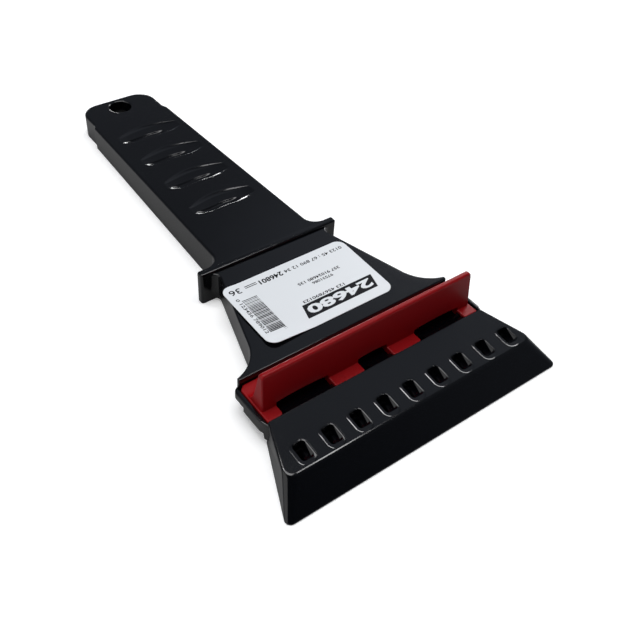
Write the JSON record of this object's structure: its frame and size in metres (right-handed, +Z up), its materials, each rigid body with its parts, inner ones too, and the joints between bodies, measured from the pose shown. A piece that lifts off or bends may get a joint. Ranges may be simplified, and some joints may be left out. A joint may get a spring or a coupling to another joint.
{
  "type": "ice scraper",
  "caption": "Hand ice scraper: a wide bevelled blade with cored breaker teeth, an upright snap-in blade, a label on the neck, and a hollow handle with finger grips and a hanging hole.",
  "frame": {"origin": "middle of the outline at the height of the surface that the tool lies on", "axes": "+Y from the blade's edge towards the hanging end, +Z up out of the upright blade, +X across the tool"},
  "size_m": [0.1084, 0.211, 0.0233],
  "materials": {
    "body_plastic": "black moulded polypropylene, satin gloss",
    "blade_plastic": "red moulded plastic, satin gloss",
    "label_film": "white printed adhesive film"
  },
  "bodies": {
    "root": {"scraper_body": "body_plastic", "upright_blade": "blade_plastic", "label": "label_film"}
  },
  "joints": []
}
